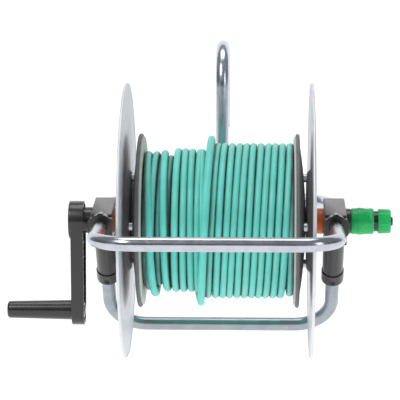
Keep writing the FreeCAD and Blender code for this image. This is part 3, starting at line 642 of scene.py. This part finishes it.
def blend_colour(n, factor, a, b):
    node = n.add("Mix", data_type="RGBA")
    for socket, value in zip((node.inputs[0], node.inputs[6], node.inputs[7]), (factor, a, b)):
        if isinstance(value, bpy.types.NodeSocket):
            n.tree.links.new(value, socket)
        else:
            socket.default_value = value if isinstance(value, float) else (*value, 1.0)
    return node.outputs[2]


def bump(n, height, strength, distance):
    values = {"Height": height, "Strength": strength, "Distance": distance}
    return n.add("Bump", values).outputs["Normal"]


def plastic(name, dark, light, worn, rough=(0.3, 0.45), grain=900.0, bump_mm=0.02, wear=0.6, dust=0.25,
            coat=0.0):
    """Moulded plastic: mottled tone, fine grain, pale rubbed edges, a little dust on top and painted shade in
    the crevices.
    """
    material, n, shader = new_material(name)
    skin = placed(n, GRAIN, {"Size": grain})
    edges = placed(n, WORN, {"Amount": wear})
    film = placed(n, DUST, {"Amount": dust})
    colour = blend_colour(n, n.spread(skin.outputs["Tone"], 0.3, 0.7), dark, light)
    colour = blend_colour(n, edges.outputs["Mask"], colour, worn)
    colour = blend_colour(n, film.outputs["Mask"], colour, (0.42, 0.40, 0.37))
    # Painted shade: the colour is darkened in the crevices by an ambient occlusion mask.
    painted_shade = placed(n, CREVICE_SHADE, {"Reach": 0.004, "Amount": 0.35})
    colour = blend_colour(n, painted_shade.outputs["Mask"], colour, tuple(part * 0.4 for part in dark))
    gloss = n.spread(skin.outputs["Gloss"], 0.35, 0.65, *rough)
    gloss = n.math("ADD", gloss, n.math("MULTIPLY", film.outputs["Mask"], 0.3), clamp=True)
    n.tree.links.new(colour, shader.inputs["Base Color"])
    n.tree.links.new(gloss, shader.inputs["Roughness"])
    n.tree.links.new(bump(n, skin.outputs["Height"], 0.35, bump_mm * MM), shader.inputs["Normal"])
    shader.inputs["Coat Weight"].default_value = coat
    shader.inputs["Coat Roughness"].default_value = 0.2
    return material


def zinc(name, dark, light, rough, spangle, lines, bump_mm=0.006, stain=0.25, metal=1.0):
    """Galvanised steel: spangle, drawn lines, dull stains and bright rubbed edges."""
    material, n, shader = new_material(name)
    skin = placed(n, ZINC, {"Spangle": spangle, "Lines": lines})
    edges = placed(n, WORN, {"Amount": 0.5, "Width": 0.0008})
    colour = blend_colour(n, n.spread(skin.outputs["Tone"], 0.3, 0.7), dark, light)
    dull = n.math("MULTIPLY", skin.outputs["Stain"], stain)
    colour = blend_colour(n, dull, colour, (0.42, 0.43, 0.45))
    colour = blend_colour(n, edges.outputs["Mask"], colour, (0.95, 0.95, 0.97))
    gloss = n.spread(skin.outputs["Gloss"], 0.3, 0.7, *rough)
    gloss = n.math("ADD", gloss, n.math("MULTIPLY", dull, 0.5), clamp=True)
    n.tree.links.new(colour, shader.inputs["Base Color"])
    n.tree.links.new(gloss, shader.inputs["Roughness"])
    n.tree.links.new(bump(n, skin.outputs["Height"], 0.4, bump_mm * MM), shader.inputs["Normal"])
    shader.inputs["Metallic"].default_value = metal
    return material


def hose_material():
    """Soft glossy hose: even colour with slightly darker flow marks, a matte film and painted shade between
    the turns.
    """
    material, n, shader = new_material("hose_skin")
    skin = placed(n, GRAIN, {"Size": 500.0, "Mottle": 28.0})
    film = placed(n, DUST, {"Amount": 0.10})
    tone = n.spread(skin.outputs["Tone"], 0.3, 0.7)
    colour = blend_colour(n, tone, (0.125, 0.70, 0.60), (0.17, 0.80, 0.70))
    colour = blend_colour(n, film.outputs["Mask"], colour, (0.55, 0.66, 0.62))
    # Painted shade: the colour goes to dark grey between the hose turns by an ambient occlusion mask.
    painted_shade = placed(n, CREVICE_SHADE, {"Reach": 0.009, "Amount": 0.95})
    colour = blend_colour(n, painted_shade.outputs["Mask"], colour, (0.12, 0.15, 0.145))
    n.tree.links.new(colour, shader.inputs["Base Color"])
    n.tree.links.new(n.spread(skin.outputs["Gloss"], 0.3, 0.7, 0.36, 0.52), shader.inputs["Roughness"])
    n.tree.links.new(bump(n, skin.outputs["Height"], 0.25, 0.00003), shader.inputs["Normal"])
    shader.inputs["Subsurface Weight"].default_value = 0.15
    shader.inputs["Subsurface Radius"].default_value = (0.001, 0.003, 0.003)
    return material


def make_materials():
    black = dict(worn=(0.16, 0.16, 0.165), rough=(0.22, 0.36), wear=0.3, dust=0.04, grain=1500.0,
                 bump_mm=0.008)
    return {
        "galvanised_tube": zinc("tube_zinc", (0.52, 0.54, 0.60), (0.58, 0.60, 0.67), (0.18, 0.24), 90.0,
                                (60.0, 200.0, 200.0), bump_mm=0.001, stain=0.06),
        # Painted light: a lighter, bluer copy of the tube zinc for the mast and rear tube.
        "mast_tube": zinc("tube_zinc_mast_painted_light", (0.60, 0.66, 0.72), (0.66, 0.72, 0.78), (0.22, 0.27), 90.0,
                          (200.0, 200.0, 60.0), bump_mm=0.001, stain=0.06),
        # Painted shade: a darker copy of the tube zinc for the lower tube, also with a rougher finish.
        "dull_painted_shade_tube": zinc("tube_zinc_dull_painted_shade", (0.34, 0.38, 0.41), (0.40, 0.44, 0.47), (0.28, 0.33), 90.0,
                          (60.0, 200.0, 200.0), bump_mm=0.001, stain=0.06),
        "dark_fastener": zinc("fastener_dark", (0.05, 0.05, 0.055), (0.08, 0.08, 0.085), (0.35, 0.5), 300.0,
                              (500.0, 500.0, 500.0)),
        "galvanised_disc": zinc("disc_zinc", (0.80, 0.80, 0.84), (0.88, 0.88, 0.92), (0.50, 0.58), 45.0,
                                (300.0, 60.0, 60.0), bump_mm=0.004, stain=0.08, metal=0.7),
        "zinc_fastener": zinc("fastener_zinc", (0.50, 0.52, 0.55), (0.66, 0.68, 0.70), (0.2, 0.36), 300.0,
                              (500.0, 500.0, 500.0)),
        "black_plastic": plastic("black_moulding", (0.011, 0.011, 0.012), (0.018, 0.018, 0.019), coat=0.5,
                                 **black),
        "grey_plastic": plastic("flange_grey", (0.115, 0.12, 0.12), (0.15, 0.155, 0.155), (0.26, 0.26, 0.26),
                                rough=(0.42, 0.58), wear=0.4, dust=0.15),
        "pale_plastic": plastic("cheek_pale", (0.62, 0.61, 0.57), (0.74, 0.73, 0.69), (0.82, 0.81, 0.78),
                                rough=(0.5, 0.65), dust=0.1),
        "orange_plastic": plastic("hub_orange", (0.72, 0.11, 0.008), (0.85, 0.16, 0.012), (0.9, 0.35, 0.12),
                                  rough=(0.3, 0.44), dust=0.1),
        "green_plastic": plastic("connector_green", (0.002, 0.50, 0.125), (0.004, 0.58, 0.155),
                                 (0.12, 0.55, 0.25), rough=(0.26, 0.4), dust=0.02, wear=0.3),
        "seal_rubber": plastic("seal_black", (0.012, 0.012, 0.012), (0.02, 0.02, 0.02), (0.05, 0.05, 0.05),
                               rough=(0.5, 0.7), dust=0.1),
        "natural_plastic": plastic("bush_natural", (0.62, 0.61, 0.56), (0.72, 0.71, 0.66), (0.8, 0.8, 0.76),
                                   rough=(0.35, 0.5), dust=0.1),
        "hose": hose_material(),
    }


MATERIALS = make_materials()


def dress(piece, material):
    if piece.material_slots:
        for slot in piece.material_slots:
            slot.material = material
    else:
        piece.data.materials.append(material)


def dress_all():
    slots = {entry["node"]: entry["material_slot"] for entry in frame["record"]["subparts"]}
    for name, node in frame["nodes"].items():
        if node.type == "MESH":
            dress(node, MATERIALS[slots[name]])
    dress(hose, MATERIALS["hose"])
    kinds = {"_sleeve_shell": "green_plastic", "_coil_spring": "zinc_fastener", "_tube": "galvanised_tube",
             "_side_disc": "galvanised_disc", "_drum_flange": "grey_plastic",
             "_drum_cheek": "pale_plastic", "_moulded": "black_plastic"}
    for piece in bpy.data.objects:
        for ending, slot in kinds.items():
            if piece.name.endswith(ending):
                dress(piece, MATERIALS[slot])
    # The rear tube and mast take the lighter copy of the tube zinc: painted light.
    dress(bpy.data.objects["rear_tube"], MATERIALS["mast_tube"])
    dress(bpy.data.objects["mast_tube"], MATERIALS["mast_tube"])
    # The lower tube takes the darker copy of the tube zinc: painted shade.
    dress(bpy.data.objects["lower_tube"], MATERIALS["dull_painted_shade_tube"])
    dress(frame["nodes"]["loop_screws"], MATERIALS["dark_fastener"])


dress_all()

# ---------------------------------------------------------------- studio

FLOOR_DROP = 0.10
FLOOR_FRONT, FLOOR_BACK, FLOOR_SIDE = -7.0, 5.5, 8.0
SWEEP_R, WALL_TOP = 1.5, 8.0


def make_stage():
    """A pale floor that curves up into a backdrop."""
    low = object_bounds()[0].z - FLOOR_DROP
    mesh = bmesh.new()
    profile = [(FLOOR_FRONT, 0.0), (FLOOR_BACK, 0.0)]
    for a in range(10, 91, 10):
        rise = math.radians(a)
        profile.append((FLOOR_BACK + SWEEP_R * math.sin(rise), SWEEP_R - SWEEP_R * math.cos(rise)))
    profile.append((FLOOR_BACK + SWEEP_R, WALL_TOP))
    verts = [mesh.verts.new((-FLOOR_SIDE, AXLE.y + y, low + z)) for y, z in profile]
    edges = [mesh.edges.new(pair) for pair in zip(verts, verts[1:])]
    made = bmesh.ops.extrude_edge_only(mesh, edges=edges)["geom"]
    moved = [g for g in made if isinstance(g, bmesh.types.BMVert)]
    bmesh.ops.translate(mesh, verts=moved, vec=(2 * FLOOR_SIDE, 0, 0))
    data = bpy.data.meshes.new("studio_floor")
    mesh.to_mesh(data)
    mesh.free()
    data.shade_smooth()
    floor = bpy.data.objects.new("studio_floor", data)
    bpy.context.scene.collection.objects.link(floor)
    material, _, shader = new_material("studio_white")
    shader.inputs["Base Color"].default_value = (0.2, 0.2, 0.2, 1)
    shader.inputs["Roughness"].default_value = 0.9
    shader.inputs["Emission Color"].default_value = (1, 1, 1, 1)
    shader.inputs["Emission Strength"].default_value = 0.97
    data.materials.append(material)


def area_light(name, place, target, size, power, colour=(1, 1, 1)):
    light = bpy.data.lights.new(name, "AREA")
    light.shape = "RECTANGLE"
    light.size, light.size_y = size
    light.energy = power
    light.color = colour
    lamp = bpy.data.objects.new(name, light)
    bpy.context.scene.collection.objects.link(lamp)
    lamp.location = AXLE + Vector(place)
    lamp.rotation_euler = (AXLE + Vector(target) - lamp.location).to_track_quat("-Z", "Y").to_euler()


def dark_card(name, place, target, size, tone):
    """A dark board out of the camera's sight, for the bright metal to mirror."""
    mesh = bmesh.new()
    middle = AXLE + Vector(place)
    facing = (AXLE + Vector(target) - middle).to_track_quat("Z", "Y").to_matrix().to_4x4()
    there = Matrix.Translation(middle) @ facing @ Matrix.Diagonal((*size, 1.0, 1.0))
    bmesh.ops.create_grid(mesh, x_segments=1, y_segments=1, size=0.5, matrix=there)
    data = bpy.data.meshes.new(name)
    mesh.to_mesh(data)
    mesh.free()
    card = bpy.data.objects.new(name, data)
    bpy.context.scene.collection.objects.link(card)
    card.visible_camera = False
    material, _, shader = new_material(name + "_cloth")
    shader.inputs["Base Color"].default_value = (tone, tone, tone * 1.08, 1)
    shader.inputs["Roughness"].default_value = 1.0
    data.materials.append(material)


def make_lights():
    area_light("key", (-1.5, -2.2, 2.4), (0, 0, 0), (0.9, 0.9), 46.0, (1.0, 0.99, 0.98))
    area_light("fill", (2.4, -1.9, 0.9), (0, 0, 0), (0.7, 1.4), 9.0, (0.96, 0.98, 1.0))
    area_light("top", (0, 0.2, 2.6), (0, 0, 0), (2.0, 1.2), 21.0)
    dark_card("front_card", (0.0, -4.6, 0.35), (0, 0, 0.2), (9.0, 1.3), 0.03)
    dark_card("left_card", (-5.8, -0.7, 0.37), (0, 0, 0.2), (5.5, 3.8), 0.14)
    dark_card("right_card", (5.8, -0.7, 0.37), (0, 0, 0.2), (5.5, 3.8), 0.20)
    world = bpy.data.worlds.new("studio_air")
    world.use_nodes = True
    sky = world.node_tree.nodes["Background"]
    sky.inputs["Color"].default_value = (0.95, 0.97, 1, 1)
    n = Nodes(world.node_tree)
    seen = n.add("LightPath").outputs["Is Camera Ray"]
    world.node_tree.links.new(n.spread(seen, 0.0, 1.0, 0.26, 1.0), sky.inputs["Strength"])
    bpy.context.scene.world = world
    bpy.context.scene.view_settings.view_transform = "Standard"


make_stage()
make_lights()
